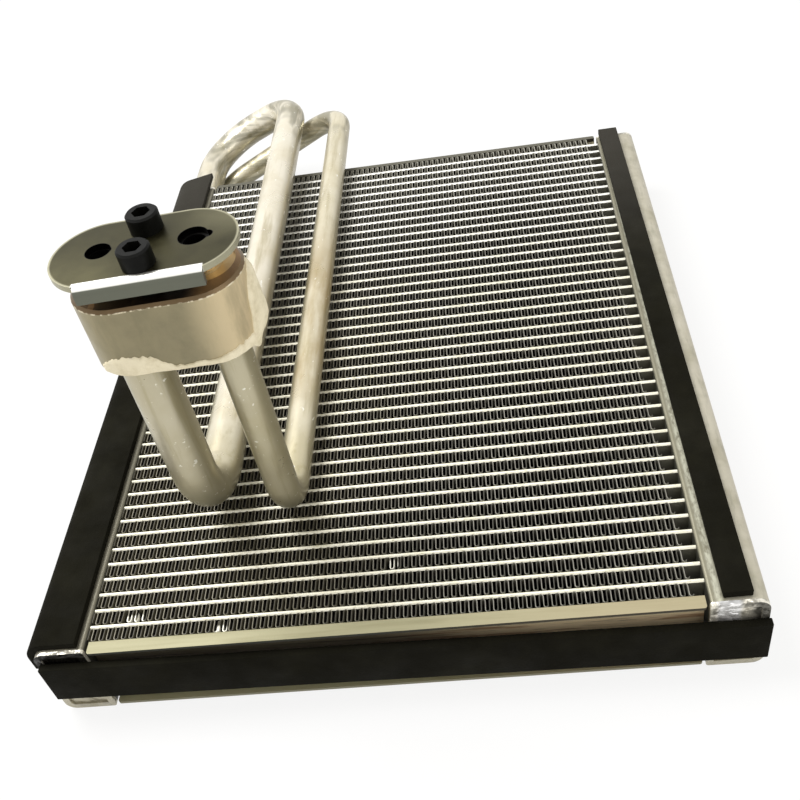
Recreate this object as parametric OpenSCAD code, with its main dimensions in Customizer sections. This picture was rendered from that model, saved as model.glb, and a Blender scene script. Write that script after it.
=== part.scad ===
// Evaporator core of a vehicle air conditioner: brazed aluminium, two tube
// banks deep, with its two pipes, connector block and foam sealing strips.
// X runs along the tubes, +Y towards the pipe bends, +Z out of the upper face.
// The origin lies under the middle of the whole part. All sizes are in mm.

/* [Core] */
// Clear width between the two header plates
core_w = 212; // [160:1:300]
// Depth of the fins and tubes along Z
core_d = 33.5; // [31:0.5:44]
// Number of fin rows, one more than the tube rows
rows = 43; // [24:1:43]
// Height of one fin row between two tubes
fin_h = 5.4; // [4:0.1:8]
// Points along one corrugated fin
fin_points = 28; // [12:2:40]
// Thickness of the fin ribbon
fin_t = 0.3; // [0.15:0.05:0.5]
// Distance from the end of the fins to the right header plate
fin_gap = 3.5; // [0.5:0.1:6]

/* [Flat tubes] */
// Thickness of a flat tube
tube_t = 1.5; // [1.2:0.1:2.5]
// Chamfer along the edges of a flat tube
tube_chamfer = 0.45; // [0.2:0.05:0.5]
// Gap between the two tube banks
bank_gap = 1.5; // [1.2:0.1:3]
// Length of each tube end inside a header
tube_in = 3; // [2.5:0.1:4]

/* [Headers] */
// Width of a header beyond the core
head_w = 19; // [17:0.5:26]
// Distance that the headers stand proud of the core faces
head_proud = 1; // [1:0.1:2.5]
// Length of the headers past the nearest fin row
near_over = 3.4; // [2:0.1:10]
// Length of the headers past the furthest fin row
far_over = -1.3; // [-2:0.1:10]
// Thickness of the slotted header plates
head_plate_t = 1.5; // [1:0.1:2]
// Thickness of the folded lips of the header plates
lip_t = 0.9; // [0.6:0.1:0.9]
// Length of the folded lips of the header plates
lip_l = 6; // [5.5:0.5:8]
// Radius of the fold of the header plates
fold_r = 1.2; // [0.5:0.1:1.4]
// Wall of the tank covers
tank_wall = 1.8; // [1.6:0.1:2.4]
// Corner radius of the tank covers
tank_r = 4; // [3:0.5:5]
// Thickness of the end caps
cap_t = 1.5; // [1:0.1:3]
// Thickness of the end caps inside their dishes
cap_floor = 0.7; // [0.4:0.1:0.8]
// Width of the rim round the dishes
cap_rim = 2.5; // [2:0.1:3]
// Depth of the plugs of the end caps inside the tanks
plug_l = 3; // [2:0.5:6]
// Wall of the plugs
plug_wall = 1.2; // [0.8:0.1:1.5]

/* [Side plates] */
// Sheet thickness of the side plates
side_t = 1.2; // [0.8:0.1:1.5]
// Distance from each header to the end of a side plate
side_gap = 1; // [0.5:0.1:3]
// Corner radius of the flanges of the side plates
side_r = 1; // [0.5:0.1:2]
// Width of the near side plate along Y
near_side_w = 4.9; // [3:0.1:4.9]
// Width of the far side plate along Y
far_side_w = 2.6; // [2:0.1:6]

/* [Foam strips] */
// Thickness of the foam strips
foam_t = 3; // [2:0.5:5]
// Distance from the inner edge of the left header to its foam
left_foam_inset = 2.3; // [2:0.1:4]
// Depth that the left foam reaches down the outer side
left_foam_down = 11; // [8:0.5:12]
// Distance from the near cap to the left foam
left_foam_back = 1.9; // [1:0.1:6]
// Length of the left foam past the far cap
left_foam_over = 10.7; // [8:0.1:14]
// Slant of the far end of the left foam
left_foam_skew = 20; // [0:1:24]
// Width of the foam on the right header
right_foam_w = 9.5; // [8:0.1:10]
// Distance from the inner edge of the right header to the middle of its foam
right_foam_x = 7.6; // [7:0.1:8]
// Slant of the foam on the right header
right_foam_turn = 0.55; // [0:0.05:0.6]
// Distance from the near cap to the right foam
right_foam_back = 2.5; // [1:0.1:6]
// Length of the right foam past the far cap
right_foam_over = 1.7; // [0:0.1:4]
// Width of the foam across the near end
near_foam_w = 19.1; // [16:0.1:21]
// Length of the foam across the near end
near_foam_l = 249.3; // [180:0.1:252]
// Slope of the foam across the near end
near_foam_tilt = 0.88; // [0:0.01:1]
// Height of the middle of the foam across the near end
near_foam_z = 19; // [16:0.5:21]
// Distance of the middle of the near foam from the middle of the core
near_foam_x = 0.9; // [0:0.1:1.5]

/* [Pipes] */
// Outer diameter of the suction pipe
suction_d = 16; // [13:0.1:16]
// Outer diameter of the liquid pipe
liquid_d = 12; // [10:0.1:12]
// Wall of both pipes
pipe_wall = 1.2; // [0.8:0.1:1.5]
// Loss of radius of a pipe in its bends
bend_thin = 0.02; // [0.01:0.01:0.1]
// Distance from the far cap to the middle of the suction pipe behind it
suction_back = 62.2; // [60:0.1:75]
// Distance from the far cap to the first corner of the liquid pipe
liquid_back = 42.2; // [40:0.1:43]
// Slant of the liquid pipe behind the core, along Y
liquid_slant = 12; // [4:0.5:12]
// Height of the suction pipe's middle over the core
suction_lift = 13; // [13:0.1:24]
// Height of the liquid pipe's middle over the core
liquid_lift = 8.5; // [7:0.1:8.5]
// Radius of the first bend of the suction pipe
suction_r1 = 28; // [22:0.5:30]
// Radius of the second bend of the suction pipe
suction_r2 = 20; // [18:0.5:24]
// Radius of the bend of the suction pipe below the block
suction_r3 = 23; // [18:0.5:28]
// Radius of the first bend of the liquid pipe
liquid_r1 = 22; // [18:0.5:26]
// Radius of the second bend of the liquid pipe
liquid_r2 = 17; // [14:0.5:22]
// Radius of the bend of the liquid pipe below the block
liquid_r3 = 14; // [13:0.5:22]
// Wall of the collars on the far left end cap
collar_wall = 1.2; // [0.8:0.1:1.3]
// Length of the collars
collar_l = 4; // [2:0.5:8]
// Distance from the suction collar to the upper side of the header
suction_inset = 0.8; // [0:0.1:0.8]
// Distance from the liquid collar to the lower side of the header
liquid_inset = 1.3; // [0.8:0.1:1.3]

/* [Connector block] */
// Distance of the block's middle from the middle of the core, to the left
block_left = 49.4; // [40:0.1:52]
// Distance from the near end of the fins to the middle of the block
block_in = 45; // [35:0.5:80]
// Height of the underside of the block over the core
block_lift = 94; // [60:0.5:140]
// Turn of the block about Z
block_turn = 4; // [0:0.5:6]
// Length of the block
block_l = 53; // [50:0.5:60]
// Width of the block
block_w = 30; // [28:0.5:36]
// Height of the block below its raised seat
block_h = 24.5; // [20:0.5:32]
// Chamfer round the top of the block
block_chamfer = 1; // [0.5:0.1:1.5]
// Distance between the two pipes, and between the two ports
port_pitch = 28.5; // [27:0.5:30]
// Length of each pipe inside the block
pipe_in = 8; // [5:0.5:12]
// Height of the two stubs that carry the plate
stub_h = 7.5; // [5:0.5:10]
// Diameter of the recess round each stub
recess_d = 20; // [18.5:0.5:20]
// Depth of the recesses
recess_h = 0.8; // [0.4:0.1:2]
// Bore of the port over the suction pipe
suction_port_d = 7.2; // [6:0.1:7.3]
// Bore of the port over the liquid pipe
liquid_port_d = 7.2; // [6:0.1:7.3]
// Distance of the ports from the middle line of the block
port_off = 2.3; // [0:0.1:2.3]
// Distance of the middle between the ports from the middle of the block
port_left = 0.5; // [0:0.1:1]

/* [Retainer plate] */
// Length of the retainer plate
plate_l = 56.8; // [56:0.1:64]
// Width of the retainer plate
plate_w = 32.5; // [31.8:0.1:36]
// Thickness of the retainer plate
plate_t = 2; // [1.5:0.1:2]
// Distance of the plate's middle line from the block's
plate_off = 0.7; // [0:0.1:0.7]
// Distance of the middle of the plate from the middle of the block
plate_left = 0.9; // [0:0.1:1.2]
// Length of the folded front edge
bend_l = 37.6; // [30:0.1:38]
// Outer radius of the folded front edge
bend_r = 3; // [2.5:0.1:3.5]
// Depth of the folded front edge
bend_drop = 5.5; // [4:0.1:6.5]
// Diameter of the window over the suction port
suction_window_d = 7.8; // [7.6:0.1:9]
// Diameter of the window over the liquid port
liquid_window_d = 9; // [7.6:0.1:10]
// Diameter of the small side lobe of each window
lobe_d = 3.6; // [3:0.1:5]
// Distance of the side lobe from the middle of the suction window
suction_lobe_off = 2.3; // [2:0.1:4]
// Distance of the side lobe from the middle of the liquid window
liquid_lobe_off = 4.1; // [3:0.1:5]

/* [Cap screws] */
// Distance between the two screws
screw_pitch = 17.9; // [17:0.1:18.5]
// Distance of the middle between the screws from the block's middle line
screw_off = 1.1; // [0:0.1:1.2]
// Diameter of the screw shank
screw_d = 6; // [5:0.5:6]
// Diameter of the screw head
head_d = 10; // [8.5:0.5:10]
// Height of the screw head
head_h = 6; // [4:0.5:7]
// Chamfer round the screw head
head_chamfer = 0.6; // [0.3:0.1:1]
// Width across the flats of the socket
socket_af = 5; // [4:0.5:5]
// Depth of the socket
socket_h = 3; // [2:0.5:3.5]
// Length of the shank below the head
shank_l = 20; // [14:0.5:24]
// Play round the shank in the plate
screw_play = 0.3; // [0.1:0.05:0.4]

/* [Fits] */
// Clearance of brazed and seated faces
fit = 0.05; // [0.02:0.01:0.1]
// Clearance under the foam strips
foam_gap = 0.1; // [0.05:0.05:0.3]

/* [Hidden] */
// Facets of small rounds and of the pipes
$fn = 48;
// Spare length of every cut
cut = 1;
// Length of each leg of a pipe inside the bends next to it
bend_lap = 0.2;
// Spacing of the fin rows
pitch = fin_h + tube_t;
// Half length of the fin field along Y
half_l = rows * fin_h / 2 + (rows - 1) * tube_t / 2;
// Upper face of the fins and tubes
face_z = head_proud + core_d;
// Depth of a header along Z
tank_d = core_d + 2 * head_proud;
// Depth of one tube bank
bank_d = (core_d - bank_gap) / 2;
// Inner and outer side of a header
head_x0 = core_w / 2;
head_x1 = head_x0 + head_w;
// Middle of the header, where the pipes enter
port_x = head_x0 + head_w / 2;
// Ends of the headers and outer faces of the end caps, near and far
near_y = half_l + near_over;
far_y = half_l + far_over;
near_cap_y = near_y + cap_t;
far_cap_y = far_y + cap_t;
// Start of the tank covers: tongue inside the lips, full body past them
tongue_x = head_x0 + tube_in + 2 * fit;
body_x = head_x0 + lip_l + fit;
// Collars for the pipes
suction_collar_r = suction_d / 2 + fit + collar_wall;
liquid_collar_r = liquid_d / 2 + fit + collar_wall;
suction_z = tank_d - suction_inset - suction_collar_r;
liquid_z = liquid_inset + liquid_collar_r;
// Block, stubs, plate and screws along Z
block_z = face_z + block_lift;
stub_top = block_z + block_h + stub_h;
plate_z = stub_top + fit;
plate_top = plate_z + plate_t;
// Middle of the block and places of the two risers
block_x = -block_left;
block_y = block_in - half_l;
riser_dx = port_pitch / 2 * cos(block_turn);
riser_dy = port_pitch / 2 * sin(block_turn);
pipe_top = block_z + pipe_in - fit;
// Furthest places along X and Y, and the shifts that centre the part
foam_half = near_foam_l / 2 * cos(near_foam_tilt) + near_foam_w / 2 * sin(near_foam_tilt);
left_x = head_x1 + foam_t;
right_x = max(head_x1, near_foam_x + foam_half);
shift_x = (left_x - right_x) / 2;
back_y = far_cap_y + suction_back + suction_d / 2;
front_y = near_cap_y + foam_t;
shift_y = (front_y - back_y) / 2;

fin_names = [for (i = [1 : rows]) str("fin_", i < 10 ? "0" : "", i)];

// Routes of the pipes: corner points and the bend radius at each corner
suction_route = [
    [-port_x, far_cap_y + fit, suction_z],
    [-port_x, far_cap_y + suction_back, suction_z],
    [block_x - riser_dx, far_cap_y + suction_back, face_z + suction_lift],
    [block_x - riser_dx, block_y - riser_dy, face_z + suction_lift],
    [block_x - riser_dx, block_y - riser_dy, pipe_top]
];
suction_bends = [0, suction_r1, suction_r2, suction_r3, 0];
liquid_route = [
    [-port_x, far_cap_y + fit, liquid_z],
    [-port_x, far_cap_y + liquid_back, liquid_z],
    [block_x + riser_dx, far_cap_y + liquid_back + liquid_slant, face_z + liquid_lift],
    [block_x + riser_dx, block_y + riser_dy, face_z + liquid_lift],
    [block_x + riser_dx, block_y + riser_dy, pipe_top]
];
liquid_bends = [0, liquid_r1, liquid_r2, liquid_r3, 0];

function unit(v) = v / norm(v);
function leg(p, i) = unit(p[i + 1] - p[i]);
function turn(p, i) = acos(leg(p, i - 1) * leg(p, i));
function setback(p, r, i) = r[i] == 0 ? 0 : r[i] * tan(turn(p, i) / 2);
function leg_length(p, r, i) = norm(p[i + 1] - p[i]) - setback(p, r, i) - setback(p, r, i + 1);
// Direction from the start of bend i to its middle
function inward(p, i) = unit(leg(p, i) - leg(p, i - 1) * (leg(p, i) * leg(p, i - 1)));
// Direction of the section's own X axis after bend i
function carried(p, i) = i == 0 ? [1, 0, 0] : inward(p, i) * cos(turn(p, i)) - leg(p, i - 1) * sin(turn(p, i));
// Turn about the pipe's own axis that brings that X axis into the plane of bend i
function twist(p, i) = let (a = carried(p, i - 1), b = inward(p, i))
    atan2(cross(a, b) * leg(p, i - 1), a * b);

// Everything sits in the frame of the core and is then moved as one
module in_frame() {
    translate([shift_x, shift_y, 0])
        children();
}

// Profile in X and Z, run along Y from y0 to y1
module along_y(y0, y1) {
    translate([0, y1, 0])
        rotate([90, 0, 0])
            linear_extrude(height = y1 - y0)
                children();
}

// Rectangle with its own radius at the low and at the high X side
module soft_box(x0, z0, x1, z1, r0, r1) {
    translate([x0 + r0, z0])
        square([x1 - r1 - x0 - r0, z1 - z0]);
    if (r0 > 0) {
        translate([x0, z0 + r0])
            square([r0, z1 - z0 - 2 * r0]);
        for (z = [z0 + r0, z1 - r0])
            translate([x0 + r0, z])
                circle(r = r0);
    }
    if (r1 > 0) {
        translate([x1 - r1, z0 + r1])
            square([r1, z1 - z0 - 2 * r1]);
        for (z = [z0 + r1, z1 - r1])
            translate([x1 - r1, z])
                circle(r = r1);
    }
}

// Both rounded lobes of a tank, drawn in by d on every side
module lobes(x0, d) {
    for (k = [0, 1])
        soft_box(x0, k * tank_d / 2 + d, head_x1 - d, (k + 1) * tank_d / 2 - d, 0, tank_r - d);
}

// Section of one flat tube in X and Y, widened by g
module tube_section(g) {
    h = bank_d / 2 + g;
    t = tube_t / 2 + g;
    c = tube_chamfer;
    polygon([
        [-h + c, -t], [h - c, -t], [h, -t + c], [h, t - c],
        [h - c, t], [-h + c, t], [-h, t - c], [-h, -t + c]
    ]);
}

// All tubes of both banks from x0 to x1, widened by g
module tube_field(x0, x1, g) {
    for (k = [0, 1], i = [1 : rows - 1])
        translate([x0, (i - rows / 2) * pitch, head_proud + bank_d / 2 + k * (bank_d + bank_gap)])
            rotate([0, 90, 0])
                linear_extrude(height = x1 - x0)
                    tube_section(g);
}

module flat_tubes() {
    color("#F0EFE6")
        in_frame()
            tube_field(-head_x0 - tube_in, head_x0 + tube_in, 0);
}

// Corrugated ribbon of row i, its crests on the tubes of both sides
module fin(i) {
    last = fin_points - 1;
    x0 = -head_x0 + fit;
    step = (core_w - fit - fin_gap) / last;
    rise = fin_h - 2 * fit;
    thick = fin_t * norm([step, rise]) / step;
    top = (rise - thick) / 2;
    line = [for (n = [0 : last]) [x0 + n * step, n % 2 == 0 ? -top : top]];
    color("#6A6A5E")
        in_frame()
            translate([0, (i - (rows + 1) / 2) * pitch, head_proud])
                linear_extrude(height = core_d)
                    polygon(concat(
                        [for (n = [0 : last]) line[n] + [0, thick / 2]],
                        [for (n = [last : -1 : 0]) line[n] - [0, thick / 2]]
                    ));
}

// Slotted channel on the right, its lips folded away from the core
module header_plate() {
    difference() {
        along_y(-near_y, far_y)
            difference() {
                soft_box(head_x0, 0, head_x0 + lip_l, tank_d, fold_r, 0);
                translate([head_x0 + head_plate_t, lip_t])
                    square([lip_l, tank_d - 2 * lip_t]);
            }
        tube_field(head_x0 - cut, head_x0 + tube_in + cut, fit);
    }
}

module left_header_plate() {
    color("#C4C0B0")
        in_frame()
            mirror([1, 0, 0])
                header_plate();
}

module right_header_plate() {
    color("#C4C0B0")
        in_frame()
            header_plate();
}

// Cover with two lobes, a tongue inside the lips and a web between the banks
module tank_cover() {
    web_t = bank_gap - 4 * fit;
    web_x = head_x0 + head_plate_t + fit;
    along_y(-near_y, far_y) {
        difference() {
            union() {
                lobes(body_x, 0);
                translate([tongue_x, lip_t + fit])
                    square([body_x - tongue_x, tank_d - 2 * (lip_t + fit)]);
            }
            lobes(head_x0, tank_wall);
        }
        translate([web_x, (tank_d - web_t) / 2])
            square([tongue_x - web_x, web_t]);
    }
}

module left_tank_cover() {
    color("#BDB9A8")
        in_frame()
            mirror([1, 0, 0])
                tank_cover();
}

module right_tank_cover() {
    color("#BDB9A8")
        in_frame()
            tank_cover();
}

// End cap on the right, its lid from y on, with a dish and a hollow plug for
// each tank
module end_cap(y) {
    difference() {
        along_y(y + fit, y + cap_t) {
            lobes(head_x0 + lip_l, 0);
            soft_box(head_x0, 0, head_x0 + lip_l, tank_d, fold_r, 0);
        }
        along_y(y + cap_floor, y + cap_t + cut)
            lobes(head_x0 + cap_rim, cap_rim);
    }
    along_y(y - plug_l, y + fit)
        difference() {
            lobes(tongue_x + fit, tank_wall + fit);
            lobes(tongue_x + fit + plug_wall, tank_wall + fit + plug_wall);
        }
}

module right_end_caps() {
    color("#D2CFC2")
        in_frame() {
            end_cap(far_y);
            mirror([0, 1, 0])
                end_cap(near_y);
        }
}

// The far left cap carries a collar for each pipe
module left_end_caps() {
    color("#C8C4B4")
        in_frame() {
            mirror([1, 0, 0])
                mirror([0, 1, 0])
                    end_cap(near_y);
            difference() {
                union() {
                    mirror([1, 0, 0])
                        end_cap(far_y);
                    port_rod(suction_z, suction_collar_r, far_y + 2 * fit, far_cap_y + collar_l);
                    port_rod(liquid_z, liquid_collar_r, far_y + 2 * fit, far_cap_y + collar_l);
                }
                port_rod(suction_z, suction_d / 2 + fit, far_cap_y, far_cap_y + collar_l + cut);
                port_rod(liquid_z, liquid_d / 2 + fit, far_cap_y, far_cap_y + collar_l + cut);
                port_rod(suction_z, suction_d / 2 - pipe_wall, far_y - cut, far_cap_y + cut);
                port_rod(liquid_z, liquid_d / 2 - pipe_wall, far_y - cut, far_cap_y + cut);
            }
        }
}

// Cylinder along Y in line with a pipe at the far left end
module port_rod(z, r, y0, y1) {
    translate([-port_x, y1, z])
        rotate([90, 0, 0])
            cylinder(h = y1 - y0, r = r);
}

// Channel across the far end: its web lies on the fins, its flanges face out
module side_channel(w) {
    x = head_x0 - side_gap;
    y0 = half_l + fit;
    y1 = half_l + w;
    difference() {
        translate([-x, y0, head_proud])
            cube([2 * x, y1 - y0, core_d]);
        translate([-x - cut, y0 + side_t, head_proud + side_t])
            cube([2 * (x + cut), w, core_d - 2 * side_t]);
        for (s = [0, 1])
            mirror([s, 0, 0])
                difference() {
                    translate([x - side_r, y1 - side_r, head_proud - cut])
                        cube([side_r + cut, side_r + cut, core_d + 2 * cut]);
                    translate([x - side_r, y1 - side_r, head_proud - 2 * cut])
                        cylinder(h = core_d + 4 * cut, r = side_r);
                }
    }
}

module near_side_plate() {
    color("#E4E2D8")
        in_frame()
            mirror([0, 1, 0])
                side_channel(near_side_w);
}

module far_side_plate() {
    color("#D8D6CC")
        in_frame()
            side_channel(far_side_w);
}

// Foam strip on the right header, laid a little askew
module right_foam_strip() {
    y0 = -near_cap_y + right_foam_back;
    y1 = far_cap_y + right_foam_over;
    color("#24231D")
        in_frame()
            translate([head_x0 + right_foam_x, (y0 + y1) / 2, tank_d + foam_gap])
                rotate([0, 0, right_foam_turn])
                    translate([-right_foam_w / 2, -(y1 - y0) / 2, 0])
                        cube([right_foam_w, y1 - y0, foam_t - foam_gap]);
}

// Foam over the face and down the rounded outer side of the left header
module left_foam_strip() {
    x0 = head_x0 + left_foam_inset;
    y1 = far_cap_y + left_foam_over;
    xc = head_x1 - tank_r;
    zc = tank_d - tank_r;
    color("#24231D")
        in_frame()
            mirror([1, 0, 0])
                difference() {
                    along_y(-near_cap_y + left_foam_back, y1) {
                        translate([x0, tank_d + foam_gap])
                            square([xc - x0, foam_t - foam_gap]);
                        translate([head_x1 + foam_gap, tank_d - left_foam_down])
                            square([foam_t - foam_gap, left_foam_down - tank_r]);
                        translate([xc, zc])
                            intersection() {
                                difference() {
                                    circle(r = tank_r + foam_t);
                                    circle(r = tank_r + foam_gap);
                                }
                                square(tank_r + foam_t + cut);
                            }
                    }
                    translate([x0, y1, tank_d - left_foam_down - cut])
                        rotate([0, 0, -left_foam_skew])
                            translate([-head_w, 0, 0])
                                cube([3 * head_w, head_w, left_foam_down + foam_t + 2 * cut]);
                }
}

// Foam across the near end, laid a little askew
module near_foam_strip() {
    color("#2A2923")
        in_frame()
            translate([near_foam_x, -front_y, near_foam_z])
                rotate([0, near_foam_tilt, 0])
                    translate([-near_foam_l / 2, 0, -near_foam_w / 2])
                        cube([near_foam_l, foam_t - foam_gap, near_foam_w]);
}

// Solid rod from leg i on, along its own Z axis, then the next bend and all
// that follows. The bends are a little slimmer, as drawn tube gets when bent,
// and each leg reaches a short way into them. Both ends are longer by over.
module trail(p, bends, r, i, over) {
    length = leg_length(p, bends, i);
    last = i == len(p) - 2;
    low = i == 0 ? over : bend_lap;
    high = last ? over : bend_lap;
    translate([0, 0, -low])
        cylinder(h = low + length + high, r = r);
    if (!last)
        translate([0, 0, length])
            rotate([0, 0, twist(p, i + 1)])
                translate([bends[i + 1], 0, 0]) {
                    rotate([90, 0, 180])
                        rotate_extrude(angle = turn(p, i + 1))
                            translate([bends[i + 1], 0])
                                circle(r = r - bend_thin);
                    rotate([0, turn(p, i + 1), 0])
                        translate([-bends[i + 1], 0, 0])
                            trail(p, bends, r, i + 1, over);
                }
}

module pipe(p, bends, d) {
    translate(p[0])
        rotate([-90, 0, 0])
            difference() {
                trail(p, bends, d / 2, 0, 0);
                trail(p, bends, d / 2 - pipe_wall, 0, cut);
            }
}

module suction_pipe() {
    color("#DAD6C6")
        in_frame()
            pipe(suction_route, suction_bends, suction_d);
}

module liquid_pipe() {
    color("#D4D0C0")
        in_frame()
            pipe(liquid_route, liquid_bends, liquid_d);
}

// Frame of the block: its middle line along X, turned with the risers
module at_block(z) {
    in_frame()
        translate([block_x, block_y, z])
            rotate([0, 0, block_turn])
                children();
}

// Outline with round ends
module stadium(l, w) {
    square([l - w, w], center = true);
    for (s = [-1, 1])
        translate([s * (l - w) / 2, 0])
            circle(d = w);
}

// Band of height c whose sides lean in by c
module sloped_band(l, w, c) {
    for (s = [-1, 1])
        translate([s * (l - w) / 2, 0, 0])
            cylinder(h = c, r1 = w / 2, r2 = w / 2 - c);
    translate([-(l - w) / 2, 0, 0])
        rotate([90, 0, 90])
            linear_extrude(height = l - w)
                polygon([[-w / 2, 0], [w / 2, 0], [w / 2 - c, c], [-w / 2 + c, c]]);
}

// Places the children over each of the two ports
module over_port(s, z) {
    translate([s * port_pitch / 2 - port_left, port_off, z])
        children();
}

// Places the children over each of the two screws
module at_screws(z) {
    for (s = [-1, 1])
        translate([-plate_left, screw_off + s * screw_pitch / 2, z])
            children();
}

module connector_block() {
    low = block_h - block_chamfer;
    color("#A99F82")
        at_block(block_z)
            difference() {
                union() {
                    difference() {
                        union() {
                            linear_extrude(height = low)
                                stadium(block_l, block_w);
                            translate([0, 0, low])
                                sloped_band(block_l, block_w, block_chamfer);
                        }
                        for (s = [-1, 1])
                            over_port(s, block_h - recess_h)
                                cylinder(h = recess_h + cut, d = recess_d);
                    }
                    over_port(-1, low - recess_h)
                        cylinder(h = block_chamfer + recess_h + stub_h, d = suction_d);
                    over_port(1, low - recess_h)
                        cylinder(h = block_chamfer + recess_h + stub_h, d = liquid_d);
                }
                translate([-port_pitch / 2, 0, -cut])
                    cylinder(h = pipe_in + cut, r = suction_d / 2 + fit);
                translate([port_pitch / 2, 0, -cut])
                    cylinder(h = pipe_in + cut, r = liquid_d / 2 + fit);
                over_port(-1, pipe_in - cut)
                    cylinder(h = block_h + stub_h, d = suction_port_d);
                over_port(1, pipe_in - cut)
                    cylinder(h = block_h + stub_h, d = liquid_port_d);
                at_screws(block_h + stub_h + plate_t - shank_l)
                    cylinder(h = shank_l, r = screw_d / 2 + fit);
            }
}

// Round window with its side lobe
module window(d, off) {
    cylinder(h = plate_t + 2 * cut, d = d);
    translate([off, 0, 0])
        cylinder(h = plate_t + 2 * cut, d = lobe_d);
}

module retainer_plate() {
    front = plate_w / 2;
    color("#7A7760")
        at_block(plate_z)
            difference() {
                translate([-plate_left, plate_off, 0]) {
                    difference() {
                        linear_extrude(height = plate_t)
                            stadium(plate_l, plate_w);
                        translate([-bend_l / 2, -front - cut, -cut])
                            cube([bend_l, bend_r + cut, plate_t + 2 * cut]);
                    }
                    translate([-bend_l / 2, bend_r - front, plate_t - bend_r])
                        rotate([90, 0, 90])
                            linear_extrude(height = bend_l) {
                                intersection() {
                                    difference() {
                                        circle(r = bend_r);
                                        circle(r = bend_r - plate_t);
                                    }
                                    translate([-bend_r, 0])
                                        square(bend_r);
                                }
                                translate([-bend_r, bend_r - bend_drop])
                                    square([plate_t, bend_drop - bend_r]);
                            }
                }
                over_port(-1, -cut)
                    window(suction_window_d, suction_lobe_off);
                over_port(1, -cut)
                    window(liquid_window_d, liquid_lobe_off);
                at_screws(-cut)
                    cylinder(h = plate_t + 2 * cut, r = screw_d / 2 + screw_play);
            }
}

module cap_screws() {
    color("#22231E")
        at_block(plate_top + fit)
            at_screws(0)
                difference() {
                    union() {
                        translate([0, 0, -shank_l])
                            cylinder(h = shank_l + cut, d = screw_d);
                        cylinder(h = head_h - head_chamfer, d = head_d);
                        translate([0, 0, head_h - head_chamfer])
                            cylinder(h = head_chamfer, d1 = head_d, d2 = head_d - 2 * head_chamfer);
                    }
                    translate([0, 0, head_h - socket_h])
                        cylinder(h = socket_h + cut, d = socket_af / cos(30), $fn = 6);
                }
}

for (i = [1 : rows])
    fin(i);
flat_tubes();
left_header_plate();
right_header_plate();
left_tank_cover();
right_tank_cover();
left_end_caps();
right_end_caps();
near_side_plate();
far_side_plate();
left_foam_strip();
right_foam_strip();
near_foam_strip();
suction_pipe();
liquid_pipe();
connector_block();
retainer_plate();
cap_screws();
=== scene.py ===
"""Looks of a car air-conditioning evaporator core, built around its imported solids."""

import logging
import math
import random
from collections.abc import Callable, Iterator, Sequence
from contextlib import contextmanager
from dataclasses import dataclass, field
from enum import Enum

import bmesh
import bpy
from mathutils import Matrix, Vector, noise


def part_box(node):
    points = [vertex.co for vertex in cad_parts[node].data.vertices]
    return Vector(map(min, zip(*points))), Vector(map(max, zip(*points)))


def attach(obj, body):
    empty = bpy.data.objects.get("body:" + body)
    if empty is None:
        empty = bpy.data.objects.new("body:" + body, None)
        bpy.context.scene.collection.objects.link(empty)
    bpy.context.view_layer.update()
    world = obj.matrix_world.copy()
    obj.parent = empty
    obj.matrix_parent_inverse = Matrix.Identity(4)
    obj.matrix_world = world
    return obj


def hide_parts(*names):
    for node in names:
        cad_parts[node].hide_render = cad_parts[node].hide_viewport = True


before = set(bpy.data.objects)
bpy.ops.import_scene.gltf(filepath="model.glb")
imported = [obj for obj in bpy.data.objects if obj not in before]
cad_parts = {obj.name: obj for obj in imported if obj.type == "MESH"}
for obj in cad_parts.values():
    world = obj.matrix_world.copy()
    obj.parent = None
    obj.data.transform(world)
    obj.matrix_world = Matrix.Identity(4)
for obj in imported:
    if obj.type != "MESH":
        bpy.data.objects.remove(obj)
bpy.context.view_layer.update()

log = logging.getLogger("evaporator")
MM = 0.001

Object = bpy.types.Object
Material = bpy.types.Material
Socket = bpy.types.NodeSocket
Pair = tuple[float, float]
Triple = tuple[float, float, float]
Colour = tuple[float, float, float, float]
# A value, where it begins to count, and where it counts in full
Limit = tuple[Socket, float, float]


# Small tools
def linear(code: str) -> Colour:
    """Turn an sRGB hex colour into linear light.

    Args:
        code: six hex digits after a hash sign.

    Returns:
        Red, green, blue and an alpha of 1.
    """
    parts = [int(code[i : i + 2], 16) / 255 for i in (1, 3, 5)]
    red, green, blue = (p / 12.92 if p <= 0.04045 else ((p + 0.055) / 1.055) ** 2.4 for p in parts)
    return red, green, blue, 1.0


def choose(obj: Object) -> None:
    """Select one object alone and make it active.

    Args:
        obj: the object.
    """
    bpy.ops.object.select_all(action="DESELECT")
    obj.select_set(True)
    bpy.context.view_layer.objects.active = obj


@contextmanager
def editing(obj: Object, mode: str = "VERT") -> Iterator[None]:
    """Open an object in edit mode with nothing selected, and close it again.

    Args:
        obj: the mesh object.
        mode: VERT, EDGE or FACE selection.
    """
    choose(obj)
    bpy.ops.object.mode_set(mode="EDIT")
    bpy.ops.mesh.select_mode(type=mode)
    bpy.ops.mesh.select_all(action="DESELECT")
    try:
        yield
    finally:
        bpy.ops.object.mode_set(mode="OBJECT")


def pick(obj: Object, elements: str, test: Callable[..., bool]) -> None:
    """Select what passes a test, in edit mode.

    Args:
        obj: the object being edited.
        elements: verts or edges.
        test: says whether one of them belongs to the selection.
    """
    mesh = bmesh.from_edit_mesh(obj.data)
    for element in getattr(mesh, elements):
        element.select = test(element)
    mesh.select_flush_mode()
    bmesh.update_edit_mesh(obj.data)


def face_outward() -> None:
    """Select the whole mesh and turn its faces outwards, in edit mode."""
    bpy.ops.mesh.select_all(action="SELECT")
    bpy.ops.mesh.normals_make_consistent(inside=False)


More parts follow.
